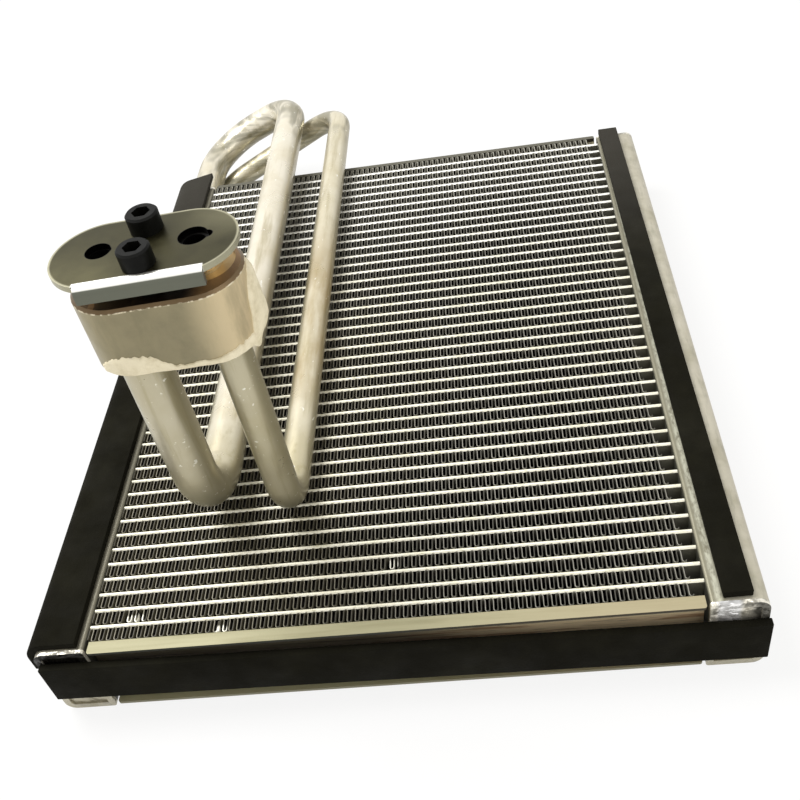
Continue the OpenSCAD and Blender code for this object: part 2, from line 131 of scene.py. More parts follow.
def apply_modifier(obj: Object, kind: str, **settings: object) -> None:
    """Add a modifier with its settings and apply it at once.

    Args:
        obj: the mesh object.
        kind: the modifier's type name.
        settings: properties of the modifier.
    """
    choose(obj)
    modifier = obj.modifiers.new(kind.title(), kind)
    for name, value in settings.items():
        setattr(modifier, name, value)
    bpy.ops.object.modifier_apply(modifier=modifier.name)


def settle(obj: Object, name: str) -> Object:
    """Name an object and put its place, turn and size into its mesh.

    Args:
        obj: the object.
        name: its new name, and its mesh's.

    Returns:
        The same object.
    """
    choose(obj)
    bpy.ops.object.transform_apply(location=True, rotation=True, scale=True)
    obj.name = name
    obj.data.name = name
    return obj


def folded_sheet(
    name: str, start: Vector, along: str, length: float, steps: Sequence[Vector]
) -> Object:
    """Draw an edge out, step by step, into a folded sheet without thickness.

    Args:
        name: the object's name.
        start: the middle of the first edge.
        along: the axis that the edge lies on, Y or Z.
        length: the length of the edge.
        steps: the moves that the edge makes.

    Returns:
        The open sheet.
    """
    turn = (0, math.pi / 2, 0) if along == "Z" else (0, 0, 0)
    bpy.ops.object.select_all(action="DESELECT")
    bpy.ops.mesh.primitive_plane_add(size=1, location=(0, 0, 0), rotation=turn)
    obj = settle(bpy.context.active_object, name)
    across = 1 if along == "Z" else 0
    with editing(obj):
        # Half of the unit plane goes, and the edge that stays takes its length and place
        pick(obj, "verts", lambda vert: vert.co[across] > 0)
        bpy.ops.mesh.delete(type="VERT")
        bpy.ops.mesh.select_all(action="SELECT")
        scale = [1.0, 1.0, 1.0]
        scale["XYZ".index(along)] = length
        bpy.ops.transform.resize(value=scale)
        move = list(start)
        move[across] += 0.5
        bpy.ops.transform.translate(value=move)
        for step in steps:
            bpy.ops.mesh.extrude_region_move(TRANSFORM_OT_translate={"value": step})
    return obj


def arc_steps(radius: float, first: float, last: float, count: int) -> list[Vector]:
    """Move along an arc in X and Y.

    Args:
        radius: radius of the arc in metres.
        first: angle of its start in degrees.
        last: angle of its end in degrees.
        count: number of moves.

    Returns:
        The moves, in order.
    """
    angles = [math.radians(first + (last - first) * i / count) for i in range(count + 1)]
    points = [Vector((math.cos(a), math.sin(a), 0)) * radius for a in angles]
    return [b - a for a, b in zip(points, points[1:])]


def bell(value: float, middle: float, spread: float) -> float:
    """Give 1 in the middle and fall softly to 0 on both sides."""
    return math.exp(-(((value - middle) / spread) ** 2))


def smooth(obj: Object, angle: float) -> None:
    """Shade an object smooth across edges flatter than an angle in degrees."""
    choose(obj)
    bpy.ops.object.shade_smooth_by_angle(angle=math.radians(angle))


def dress(obj: Object, *materials: Material) -> None:
    """Give an object its materials, one for each of its slots.

    Args:
        obj: the object.
        materials: the materials, in order.
    """
    obj.data.materials.clear()
    for material in materials:
        obj.data.materials.append(material)


def hand_over(obj: Object, slot: str, *nodes: str) -> None:
    """Fix a piece to the part, hide the solids that it stands for, and log its faces.

    Args:
        obj: the finished piece.
        slot: not used.
        nodes: the solids that the piece stands for.
    """
    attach(obj, "root")
    if nodes:
        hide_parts(*nodes)
    log.info("%s: %d faces", obj.name, len(obj.data.polygons))


# Nodes, finishes
class Nodes:
    """The nodes of a material or of the world, none at first.

    Args:
        owner: the material or the world.
    """

    def __init__(self, owner: Material | bpy.types.World) -> None:
        """Turn the owner's nodes on and clear them."""
        owner.use_nodes = True
        self.tree = owner.node_tree
        self.tree.nodes.clear()

    def add(
        self, kind: str, inputs: dict[str | int, object] | None = None, **settings: object
    ) -> bpy.types.NodeOutputs:
        """Add one node with its settings, values and links.

        Args:
            kind: the node's type name after ShaderNode.
            inputs: a value, or a socket to link, for each named or numbered input.
            settings: properties of the node itself.

        Returns:
            The node's outputs.
        """
        node = self.tree.nodes.new(f"ShaderNode{kind}")
        for name, value in settings.items():
            setattr(node, name, value)
        for name, value in (inputs or {}).items():
            if isinstance(value, Socket):
                self.tree.links.new(value, node.inputs[name])
            else:
                node.inputs[name].default_value = value
        return node.outputs


class Coat(Nodes):
    """One material in the making, with the colour that is laid on so far.

    Its places are in millimetres, apart from the one that the noise reads.

    Args:
        name: the material's name.
        colour: the colour to start from.
    """

    def __init__(self, name: str, colour: str) -> None:
        """Start the material, and read where its surface is and which way it faces."""
        self.material = bpy.data.materials.new(name)
        super().__init__(self.material)
        self.colour: Socket | Colour = linear(colour)
        self.metres = self.add("TexCoord")["Object"]
        scale = {0: self.metres, 1: (1 / MM, 1 / MM, 1 / MM)}
        self.place = self.add("VectorMath", scale, operation="MULTIPLY")[0]
        self.x, self.y, self.z = self.add("SeparateXYZ", {0: self.place})
        normal = self.add("NewGeometry")["Normal"]
        self.side, self.out, self.up = self.add("SeparateXYZ", {0: normal})
        self.level = self.add("Math", {0: self.up}, operation="ABSOLUTE")[0]

    def noise(
        self, size: float, run: Sequence[float] = (1, 1, 1), detail: float = 5.0
    ) -> Socket:
        """Spread soft noise over the surface.

        Args:
            size: size of its grains in millimetres.
            run: how far they are drawn out along X, Y and Z.
            detail: how much finer noise lies on them.

        Returns:
            The noise, about 0.5 on average.
        """
        stretch = {"Vector": self.metres, "Scale": [1 / r for r in run]}
        drawn = self.add("Mapping", stretch)[0]
        grains = {"Vector": drawn, "Scale": 1 / (size * MM), "Detail": detail, "Roughness": 0.6}
        return self.add("TexNoise", grains)["Fac"]

    def area(self, *limits: Limit | Socket, strength: float = 1.0) -> Socket | float:
        """Mark the part of the surface that lies inside all of some limits.

        Args:
            limits: values with their two limits, or areas that were marked before.
            strength: what the area is worth inside.

        Returns:
            The area: its strength inside, 0 outside and soft between.
        """
        share: Socket | float = strength
        for limit in limits:
            if isinstance(limit, tuple):
                ramp = dict(zip(("Value", "From Min", "From Max"), limit))
                limit = self.add("MapRange", ramp, interpolation_type="SMOOTHSTEP")["Result"]
            share = self.add("Math", {0: share, 1: limit}, operation="MULTIPLY")[0]
        return share

    def lay(self, colour: str, *limits: Limit | Socket, strength: float = 1.0) -> None:
        """Lay a colour over an area.

        Args:
            colour: the colour.
            limits: the limits of the area.
            strength: how well the colour covers what is below it.
        """
        share = self.area(*limits, strength=strength)
        mix = {0: share, 6: self.colour, 7: linear(colour)}
        self.colour = self.add("Mix", mix, data_type="RGBA")[2]


@dataclass(frozen=True)
class Finish:
    """A real surface: its colours, its sheen and the grain that shows.

    Args:
        name: what the material is and how it was made.
        colour: its main colour.
        stain: the colour of its darker or dirtier patches.
        roughness: how far reflections spread.
        patch_mm: size of the patches.
        metallic: 1 for bare metal, 0 for anything else.
        grain_mm: size of the fine grain that lifts the surface.
        grain_lift_mm: height of that grain.
        stain_share: how much of the surface the patches take, 0 to 1.
        run: how far the patches are drawn out along X, Y and Z.
        gloss: level of the reflections of what is not metal.
        wear: share by which handling makes the roughness uneven.
    """

    name: str
    colour: str
    stain: str
    roughness: float
    patch_mm: float
    metallic: float = 0.0
    grain_mm: float = 0.7
    grain_lift_mm: float = 0.02
    stain_share: float = 0.4
    run: Triple = (1, 1, 1)
    gloss: float = 0.5
    wear: float = 0.2

    def tint(self, coat: Coat) -> None:
        """Lay more colours over the patches. A plain finish has none."""

    def sheen(self, coat: Coat) -> Socket:
        """Make the surface a little uneven from handling.

        Args:
            coat: the material in the making.

        Returns:
            The roughness.
        """
        ramp = {
            "Value": coat.noise(self.patch_mm * 0.6, self.run),
            "From Min": 0.3,
            "From Max": 0.7,
            "To Min": self.roughness * (1 - self.wear),
            "To Max": min(1.0, self.roughness * (1 + self.wear)),
        }
        return coat.add("MapRange", ramp)["Result"]

    def lift(self, coat: Coat) -> Socket:
        """Raise the fine grain of the surface.

        Args:
            coat: the material in the making.

        Returns:
            The normal.
        """
        grain = {
            "Height": coat.noise(self.grain_mm, detail=3.0),
            "Distance": self.grain_lift_mm * MM,
        }
        return coat.add("Bump", grain)[0]

    def build(self) -> Material:
        """Make the material of this finish.

        Returns:
            The material.
        """
        coat = Coat(self.name, self.colour)
        patches = coat.noise(self.patch_mm, self.run)
        coat.lay(self.stain, (patches, 0.75 - self.stain_share, 0.85))
        self.tint(coat)
        look = {
            "Base Color": coat.colour,
            "Metallic": self.metallic,
            "Roughness": self.sheen(coat),
            "Specular IOR Level": self.gloss,
            "Normal": self.lift(coat),
        }
        coat.add("OutputMaterial", {"Surface": coat.add("BsdfPrincipled", look)[0]})
        return coat.material


@dataclass(frozen=True)
class TubeFinish(Finish):
    """Flat tubes: bright along their upper and lower edges, with painted shade on their flanks.

    Args:
        flank: the colour of the flanks between the fins, painted shade of the narrow gaps.
        bare: the colour of the flanks past the fins' right ends, painted lighter where light from
            above reaches them.
    """

    flank: str = "#211F19"
    bare: str = "#8B897C"

    def tint(self, coat: Coat) -> None:
        """Whiten the far edges, and paint shade on the faces that look along the rows.

        Args:
            coat: the material in the making.
        """
        coat.lay("#C9C6A8", (coat.noise(0.7, (3, 1, 1)), 0.56, 0.72))
        coat.lay("#FFFFFC", (coat.y, -20, 90), strength=0.85)
        # Painted shade: the flanks are near black between the fins, and painted lighter past their
        # right ends
        upright = coat.area((coat.level, 0.5, 0.2))
        coat.lay(self.flank, upright)
        coat.lay(self.bare, upright, (coat.x, 101, 103))


@dataclass(frozen=True)
class FinFinish(Finish):
    """Fin sheet: paler near the open face, with painted shade darkening it down in the folds.

    Args:
        top: upper edge of the ribbons in millimetres.
        deep: depth in millimetres at which the painted shade has made the sheet dark.
        pit: the colour of that painted shade.
        left: the shade that the near left part turns to.
        far: the shade that the far end turns to.
        bent: the colour of the bent spots.
        knocks: places of the bent spots in millimetres.
    """

    metallic: float = 0.1
    stain_share: float = 0.5
    top: float = 34.5
    deep: float = 7.0
    pit: str = "#1A1813"
    left: str = "#5F5944"
    far: str = "#BDBBB0"
    bent: str = "#F4F2E6"
    knocks: tuple[Pair, ...] = ((-90.5, -170.9), (-87.5, -170.6), (-56.1, -178.0), (3.0, -156.0))

    def tint(self, coat: Coat) -> None:
        """Shade the sheet by its place and its depth, and brighten the bent spots.

        Args:
            coat: the material in the making.
        """
        coat.lay(self.far, (coat.y, 20, 130), strength=0.8)
        coat.lay(self.left, (coat.x, 40, -40), (coat.y, 60, -60), strength=0.75)
        # Painted shade in the folds: the sheet darkens with depth below the open face
        coat.lay(self.pit, (coat.z, self.top - 0.6, self.top - self.deep))
        for knock in self.knocks:
            apart = {0: coat.place, 1: (*knock, self.top)}
            away = coat.add("VectorMath", apart, operation="DISTANCE")["Value"]
            coat.lay(self.bent, (away, 2.6, 1.6))


@dataclass(frozen=True)
class SideFinish(Finish):
    """Side plates: pale flanges, and painted gold and bronze reflections along the web of the near
    one, with a painted shadow under its flange.

    Args:
        gold: the main colour of the near web, a painted reflection.
        bronze: the colour of its wide bands of painted reflection.
        dark_streak: the colour of its fine streaks.
    """

    gold: str = "#FFF6D2"
    bronze: str = "#9C6C48"
    dark_streak: str = "#4A4034"

    def tint(self, coat: Coat) -> None:
        """Colour the webs by their height and the flanges from end to end.

        Args:
            coat: the material in the making.
        """
        upright = coat.area((coat.level, 0.7, 0.3))
        web = coat.area(upright, (coat.out, 0.3, -0.3))
        coat.lay("#BDB9A4", upright)
        # Painted reflections along the near web: pale gold above, bronze below, in wide bands and
        # fine dark streaks, with a painted shadow at the very top
        coat.lay(self.gold, web)
        coat.lay("#E0A878", web, (coat.z, 29.5, 26.5), strength=0.35)
        wide = coat.noise(2.4, (22, 1, 1))
        fine = coat.noise(1.1, (30, 1, 0.8))
        coat.lay(self.bronze, web, (wide, 0.52, 0.6), strength=0.7)
        coat.lay(self.dark_streak, web, (fine, 0.58, 0.68), strength=0.8)
        # Painted shadow under the flange
        coat.lay("#3E392E", web, (coat.z, 32, 32.8))
        # Its left half lies in the shade of the foam, and its foot is grey-green
        coat.lay("#2C2D26", web, (coat.x, 60, -10), strength=0.88)
        coat.lay("#8E8C78", web, (coat.z, 9, 7))
        # The far flange is dull, and the near one turns pinker towards the right end
        coat.lay("#5F5D52", (coat.y, 0, 50), (coat.up, 0.5, 0.8))
        coat.lay("#A8987C", (coat.y, 50, 0), (coat.x, 0, 90), (coat.up, 0.5, 0.8), strength=0.45)
        # The near flange gleams where it bends down
        coat.lay("#F2EFD8", (coat.out, -0.2, -0.4), (coat.up, 0.25, 0.45), strength=0.8)


@dataclass(frozen=True)
class HeaderFinish(Finish):
    """Header sheet: duller next to the tubes, and painted dark with shade in the gap where they
    enter it.

    Args:
        middle_x: middle of the core in millimetres.
        root_x: distance from there at which the tubes enter, in millimetres.
        root: the colour there, painted shade.
        inner: the colour of the strip next to it.
        frost: the colour of the frosted line on that strip.
    """

    middle_x: float = 1.159
    root_x: float = 106.05
    root: str = "#55544A"
    inner: str = "#77745F"
    frost: str = "#D6D6C2"

    def tint(self, coat: Coat) -> None:
        """Colour the sheet by its distance from the tubes' ends.

        Args:
            coat: the material in the making.
        """
        moved = coat.add("Math", {0: coat.x, 1: self.middle_x}, operation="SUBTRACT")[0]
        reach = coat.add("Math", {0: moved}, operation="ABSOLUTE")[0]
        root = self.root_x
        coat.lay("#8E8C7C", (coat.noise(1.4, (1, 6, 1)), 0.5, 0.75), strength=0.45)
        inner = coat.area((reach, root + 6, root + 4.5))
        coat.lay(self.inner, inner, strength=0.75)
        coat.lay(
            self.frost,
            (reach, root + 1.2, root + 2.6),
            (reach, root + 4.6, root + 3.2),
            (coat.noise(1.2, (1, 2.5, 1)), 0.3, 0.6),
            strength=0.8,
        )
        coat.lay("#6E6A5C", inner, (coat.x, 0, -40), strength=0.85)
        # Painted shade on the sheet in the gap where the tubes enter it
        coat.lay(self.root, (reach, root + 0.4, root))


@dataclass(frozen=True)
class PipeFinish(Finish):
    """Drawn tube: bright on top, painted shade grey-olive below and on its right sides, dull
    grey-olive on the risers, painted dark reflections behind the core.

    Args:
        riser_y: place at which the runs turn into the risers, in millimetres.
        bend_y: place behind which the bends start, in millimetres.
        tan: strength of the brown film along the middle of the run.
        dent_mm: height of the shallow dents.
    """

    roughness: float = 0.32
    patch_mm: float = 26.0
    metallic: float = 0.6
    grain_mm: float = 0.5
    riser_y: float = -98.0
    bend_y: float = 122.0
    tan: float = 0.1
    dent_mm: float = 0.9

    def tint(self, coat: Coat) -> None:
        """Colour the tube by where it is, and paint shade on it by which way it faces.

        Args:
            coat: the material in the making.
        """
        # Draw marks lie along the runs, and along the risers where the tube stands up
        riser = coat.area((coat.y, self.riser_y + 14, self.riser_y - 14))
        along_run, along_rise = coat.noise(1.5, (4, 40, 4)), coat.noise(1.6, (2, 4, 30))
        marks = coat.add("Mix", {0: riser, 2: along_run, 3: along_rise})[0]
        coat.lay("#A3976F", (marks, 0.5, 0.7), strength=0.55)
        coat.lay("#B5AC88", riser, strength=0.5)
        # Painted shade turns the undersides and the right sides, away from the light, olive grey
        coat.lay("#6B654A", (coat.up, 0.25, -0.6), strength=0.75)
        coat.lay("#8A8164", (coat.side, 0.55, 1.0), strength=0.6)
        # Behind the core the tube carries painted dark reflections, in long streaks
        dark_reflection = coat.noise(5, (9, 5, 0.7), 2)
        behind = (coat.y, self.bend_y, self.bend_y + 22)
        coat.lay("#66644F", behind, (dark_reflection, 0.4, 0.62), strength=0.62)
        # A brown film from heat lies along the middle of the run
        film = coat.noise(12, (1, 6, 1))
        run = coat.area((coat.y, 60, -10), (coat.y, -90, -60))
        coat.lay("#A38D5E", run, (film, 0.3, 0.6), strength=self.tan)
        # Grey-olive on the sides facing left, along the near part of the run
        coat.lay("#8C8B6C", (coat.side, -0.45, -0.9), (coat.y, 90, 20), strength=0.45)
        # Small pale scuffs from handling
        coat.lay("#F4F2E8", (coat.noise(2.2, (1, 2.5, 1), 8), 0.64, 0.68), strength=0.8)

    def lift(self, coat: Coat) -> Socket:
        """Add shallow dents to the fine grain.

        Args:
            coat: the material in the making.

        Returns:
            The normal.
        """
        dents = {
            "Height": coat.noise(9, (1, 3, 2), 2),
            "Distance": self.dent_mm * MM,
            "Strength": 0.6,
        }
        grain = {
            "Height": coat.noise(self.grain_mm, (1, 6, 1), 3),
            "Distance": self.grain_lift_mm * MM,
            "Normal": coat.add("Bump", dents)[0],
        }
        return coat.add("Bump", grain)[0]


@dataclass(frozen=True)
class BlockFinish(Finish):
    """Machined block: brown on top with painted shade under the plate, painted golden reflections
    on the stubs, painted black shade inside the ports.

    Args:
        middle: middle of the block in millimetres.
        turn: its turn in degrees.
        top: height of its upper face in millimetres.
        stub_top: height of its two stubs in millimetres.
        seat: radius of the round recess about each stub in millimetres.
        holes: place and radius of each opening, in the block's own frame, in millimetres.
        hollow: the colour inside the openings, painted shade.
    """

    middle: Pair = (-48.24, -133.85)
    turn: float = 4.0
    top: float = 153.0
    stub_top: float = 160.45
    seat: float = 10.0
    holes: tuple[Triple, ...] = ((-14.75, 2.3, 3.65), (13.75, 2.3, 3.65))
    hollow: str = "#070605"

    def local(self, coat: Coat) -> Socket:
        """Bring the place into the block's own frame, flat and with its middle at zero.

        Args:
            coat: the material in the making.

        Returns:
            The place there.
        """
        middle = {0: coat.place, 1: (*self.middle, 0)}
        moved = coat.add("VectorMath", middle, operation="SUBTRACT")[0]
        turn = {"Vector": moved, "Angle": math.radians(-self.turn)}
        turned = coat.add("VectorRotate", turn, rotation_type="Z_AXIS")[0]
        flat = {0: turned, 1: (1, 1, 0)}
        return coat.add("VectorMath", flat, operation="MULTIPLY")[0]

    def within(self, coat: Coat, local: Socket, x: float, y: float, radius: float) -> Limit:
        """Limit an area to an upright cylinder in the block's own frame."""
        away = coat.add("VectorMath", {0: local, 1: (x, y, 0)}, operation="DISTANCE")["Value"]
        return away, radius + 0.12, radius

    def hollow_out(self, coat: Coat, local: Socket) -> None:
        """Darken the inside of each opening with painted shade."""
        for x, y, radius in self.holes:
            coat.lay(self.hollow, self.within(coat, local, x, y, radius))

    def tint(self, coat: Coat) -> None:
        """Colour the block by its height and round its ports.

        Args:
            coat: the material in the making.
        """
        local, top = self.local(coat), self.top
        x = coat.add("SeparateXYZ", {0: local})[0]
        # Pinkish gleam on the right end, greyer towards the left, in faint upright clouds
        coat.lay("#E0CDA6", (x, 6, 22), strength=0.85)
        coat.lay("#A89C78", (x, -10, -22), strength=0.5)
        coat.lay("#767158", (coat.noise(5, (1, 1, 4)), 0.45, 0.7), strength=0.3)
        # Brown chamfer with a pale speckled line below it, a painted highlight along the top edge
        coat.lay("#6E5A3E", (coat.z, top - 1, top - 0.9), (coat.up, 0.3, 0.6))
        coat.lay(
            "#DDD2B6",
            (coat.z, top - 1.3, top - 1.15),
            (coat.z, top - 0.75, top - 0.9),
            (coat.noise(1.6), 0.44, 0.6),
        )
        # Painted shade makes the upper face nearly black under the plate, and painted light
        # catches it at its two ends
        level = coat.area((coat.up, 0.8, 0.95))
        roof = coat.area(level, (coat.z, top - 1, top - 0.8))
        coat.lay("#2A2018", roof)
        coat.lay("#A58560", roof, (x, 9, 15))
        coat.lay("#8F7350", roof, (x, -15, -21))
        glint = coat.noise(5, (1, 2.5, 1), 1)
        coat.lay("#B8946A", roof, (glint, 0.5, 0.56), (x, -4, -10), strength=0.8)
        # Painted golden glints on the seat round each stub, on its right side
        for hole_x, hole_y, _ in self.holes:
            seat = self.within(coat, local, hole_x, hole_y, self.seat)
            coat.lay("#E4C48C", seat, level, (x, 3, 9))
        # Stubs painted golden as reflections, with painted shade black at their tops under the
        # plate
        stub = coat.area((coat.z, top + 0.1, top + 0.3))
        coat.lay("#F2D7A0", stub)
        coat.lay("#8A6840", stub, (coat.noise(2, (1, 1, 0.35)), 0.4, 0.6), strength=0.4)
        coat.lay("#0E0D0A", (coat.z, self.stub_top - 0.25, self.stub_top))
        # Painted black shade inside the openings
        self.hollow_out(coat, local)


@dataclass(frozen=True)
class PlateFinish(BlockFinish):
    """Stamped plate: olive, with a pale rim, a painted highlight on its fold, and painted black
    shade in its windows.

    Args:
        centre: middle of its outline in the block's own frame, in millimetres.
        size: length and width of its round-ended outline in millimetres.
    """

    holes: tuple[Triple, ...] = (
        (-14.75, 2.3, 3.95),
        (-12.45, 2.3, 1.85),
        (13.75, 2.3, 4.55),
        (17.85, 2.3, 1.85),
    )
    centre: Pair = (-0.9, 0.7)
    size: Pair = (56.8, 32.5)

    def tint(self, coat: Coat) -> None:
        """Colour the plate by the distance from its outline and its fold.

        Args:
            coat: the material in the making.
        """
        local = self.local(coat)
        x, y, _ = coat.add("SeparateXYZ", {0: local})
        coat.lay("#5A563C", (x, 4, -20), (y, 8, -10), strength=0.7)
        coat.lay("#78745A", (x, 6, 26), (y, -4, 12), strength=0.7)
        # Distance from the middle line of the round-ended outline
        centre = {0: local, 1: (*self.centre, 0)}
        away = coat.add("VectorMath", centre, operation="SUBTRACT")[0]
        flat_x, flat_y, _ = coat.add("SeparateXYZ", {0: away})
        ends = coat.add("Math", {0: flat_x}, operation="ABSOLUTE")[0]
        length, width = self.size
        line = {0: ends, 1: (length - width) / 2}
        past = coat.add("Math", line, operation="SUBTRACT")[0]
        past = coat.add("Math", {0: past, 1: 0.0}, operation="MAXIMUM")[0]
        joined = coat.add("CombineXYZ", {0: past, 1: flat_y})[0]
        reach = coat.add("VectorMath", {0: joined}, operation="LENGTH")["Value"]
        edge = width / 2
        coat.lay("#B8B49A", (reach, edge - 0.9, edge - 0.25), strength=0.75)
        # A painted highlight on the fold, with grey on the lip below it
        fold = coat.area((flat_y, 3.4 - edge, 2.6 - edge), (ends, 19.3, 18.7))
        coat.lay("#F6F5EE", fold)
        coat.lay("#6A6C60", fold, (coat.up, 0.66, 0.56))
        # Painted black shade in the windows
        self.hollow_out(coat, local)


@dataclass(frozen=True)
class CrumpledFinish(Finish):
    """Braze that ran over the caps and set like crumpled foil, with painted shade darkening the
    left dishes.

    Args:
        wrinkle_mm: height of the wrinkles.
    """

    wrinkle_mm: float = 4.0

    def tint(self, coat: Coat) -> None:
        """Crease the foil, paint the left front black with shade, and darken the outer corner on
        the right.

        Args:
            coat: the material in the making.
        """
        folds = coat.noise(4.5, (1, 1, 1.6), 3)
        coat.lay("#565348", (folds, 0.5, 0.62), strength=0.62)
        # A painted highlight on top of the right cap
        coat.lay("#FFFFFF", (coat.x, 108.5, 111), (coat.x, 118, 116), (coat.z, 24, 26))
        # Greyer low down
        coat.lay("#A9A38E", (coat.z, 10, 8), strength=0.85)
        # Painted shade blackens the front dish on the left
        front = coat.area((coat.out, -0.6, -0.85), (coat.z, 8, 10))
        coat.lay("#1C1A15", front, (coat.x, 20, -20))
        coat.lay("#33322C", front, (coat.x, 119, 123), strength=0.85)

    def lift(self, coat: Coat) -> Socket:
        """Raise wrinkles of a few millimetres.

        Args:
            coat: the material in the making.

        Returns:
            The normal.
        """
        wrinkles = {
            "Height": coat.noise(7.0, detail=2.5),
            "Distance": self.wrinkle_mm * MM,
            "Strength": 0.8,
        }
        return coat.add("Bump", wrinkles)[0]


@dataclass(frozen=True)
class FoamFinish(Finish):
    """Foam, a little paler towards the far end with a painted sheen."""

    def tint(self, coat: Coat) -> None:
        """Paint a paler sheen on the far end."""
        # Painted sheen towards the far end
        coat.lay("#3E3C37", (coat.y, -20, 120), strength=0.8)


class Surface(Enum):
    """Every finish of the part."""

    # Extruded flat tube, its bright edge left bare by the saw: near white
    TUBE = TubeFinish(
        "extruded_tube_edge", "#FBF8E6", "#E6E2C6", metallic=0.3, roughness=0.45,
        patch_mm=9, grain_mm=0.9, grain_lift_mm=0.03, stain_share=0.35,
    )
    # Rolled fin sheet on the side of its folds that the light reaches: dull olive grey
    FIN = FinFinish("rolled_fin_sheet", "#86857A", "#63625A", roughness=0.5, patch_mm=4)
    # The other face of the sheet, turned from the light
    FIN_SHADE = FinFinish(
        "shaded_fin_sheet", "#3A372E", "#26241D", roughness=0.6, patch_mm=9,
        left="#332F25", far="#4A483F",
    )
    # Cut edge of the fin sheet, painted lit: a pale thread on the flank of each fold that catches
    # the light
    FIN_EDGE = FinFinish(
        "cut_fin_edge", "#96938A", "#5E5C52", metallic=0.25, roughness=0.5,
        patch_mm=7, grain_mm=0.8, grain_lift_mm=0.01, left="#6E6855", far="#B0AEA2",
    )
    # The same edge on the other flank, painted in shade
    FIN_RIM = FinFinish(
        "shaded_fin_edge", "#4E4C43", "#3A3830", roughness=0.6, patch_mm=6,
        grain_lift_mm=0.01, left="#423D2F", far="#6C6A60",
    )
    # Header sheet brazed in a furnace: beige silver, softly mottled
    HEADER = HeaderFinish(
        "brazed_header_sheet", "#C0BBAA", "#9C9780", metallic=0.5, roughness=0.42,
        patch_mm=12, grain_mm=0.6, grain_lift_mm=0.04,
    )
    # Side plates of satin sheet, streaked along their length by the furnace's heat, with painted
    # reflections along the near web
    SHEET = SideFinish(
        "brazed_side_sheet", "#A9A586", "#8E8A6A", metallic=0.1, roughness=0.55, patch_mm=3,
        grain_mm=0.8, grain_lift_mm=0.03, stain_share=0.35, run=(14, 1, 1), gloss=0.25,
    )
    # End caps: bright braze that ran and wrinkled
    CAP = CrumpledFinish(
        "wrinkled_braze", "#E9E5D8", "#B0AA98", metallic=0.6, roughness=0.38,
        patch_mm=6, grain_mm=0.8, grain_lift_mm=0.03, stain_share=0.35,
    )
    # Drawn aluminium tube, handled and dull
    PIPE = PipeFinish("drawn_pipe", "#E9E3D2", "#D2C8AC")
    # The smaller tube, browner along the middle of its run
    SMALL_PIPE = PipeFinish("drawn_small_pipe", "#DFD8C2", "#C6BB98", tan=0.75)
    # Machined block after brazing: brown-grey, softly clouded
    BLOCK = BlockFinish(
        "brazed_block", "#938A6D", "#7F785F", metallic=0.6, roughness=0.38,
        patch_mm=9, grain_lift_mm=0.04, stain_share=0.45,
    )
    # Stamped plate, olive from age
    PLATE = PlateFinish(
        "stamped_plate", "#3F3C27", "#35321F", metallic=0.85, roughness=0.36,
        patch_mm=12, grain_mm=0.6,
    )
    # Blackened steel screws: nearly black, with a weak gloss
    SCREW = Finish(
        "blackened_steel", "#070705", "#0E0E0A", roughness=0.5,
        patch_mm=3, grain_mm=0.5, stain_share=0.3, gloss=0.12,
    )
    # White crust left by the brazing flux: matt and grainy
    FLUX = Finish(
        "flux_crust", "#F4EBD0", "#D6CBAA", roughness=0.7,
        patch_mm=4, grain_mm=0.9, grain_lift_mm=0.2, gloss=0.3,
    )
    # Cut open-cell foam: black and matt, with its cells as grain
    FOAM = FoamFinish(
        "open_cell_foam", "#12110B", "#1E1D15", roughness=0.9,
        patch_mm=25, grain_lift_mm=0.2, gloss=0.06,
    )

    def dress_nodes(self, *nodes: str) -> None:
        """Give this finish to solids of the part that keep their shape.

        Args:
            nodes: names of the solids.
        """
        material = self.value.build()
        for node in nodes:
            dress(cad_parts[node], material)
            log.info("%s: %s", node, material.name)


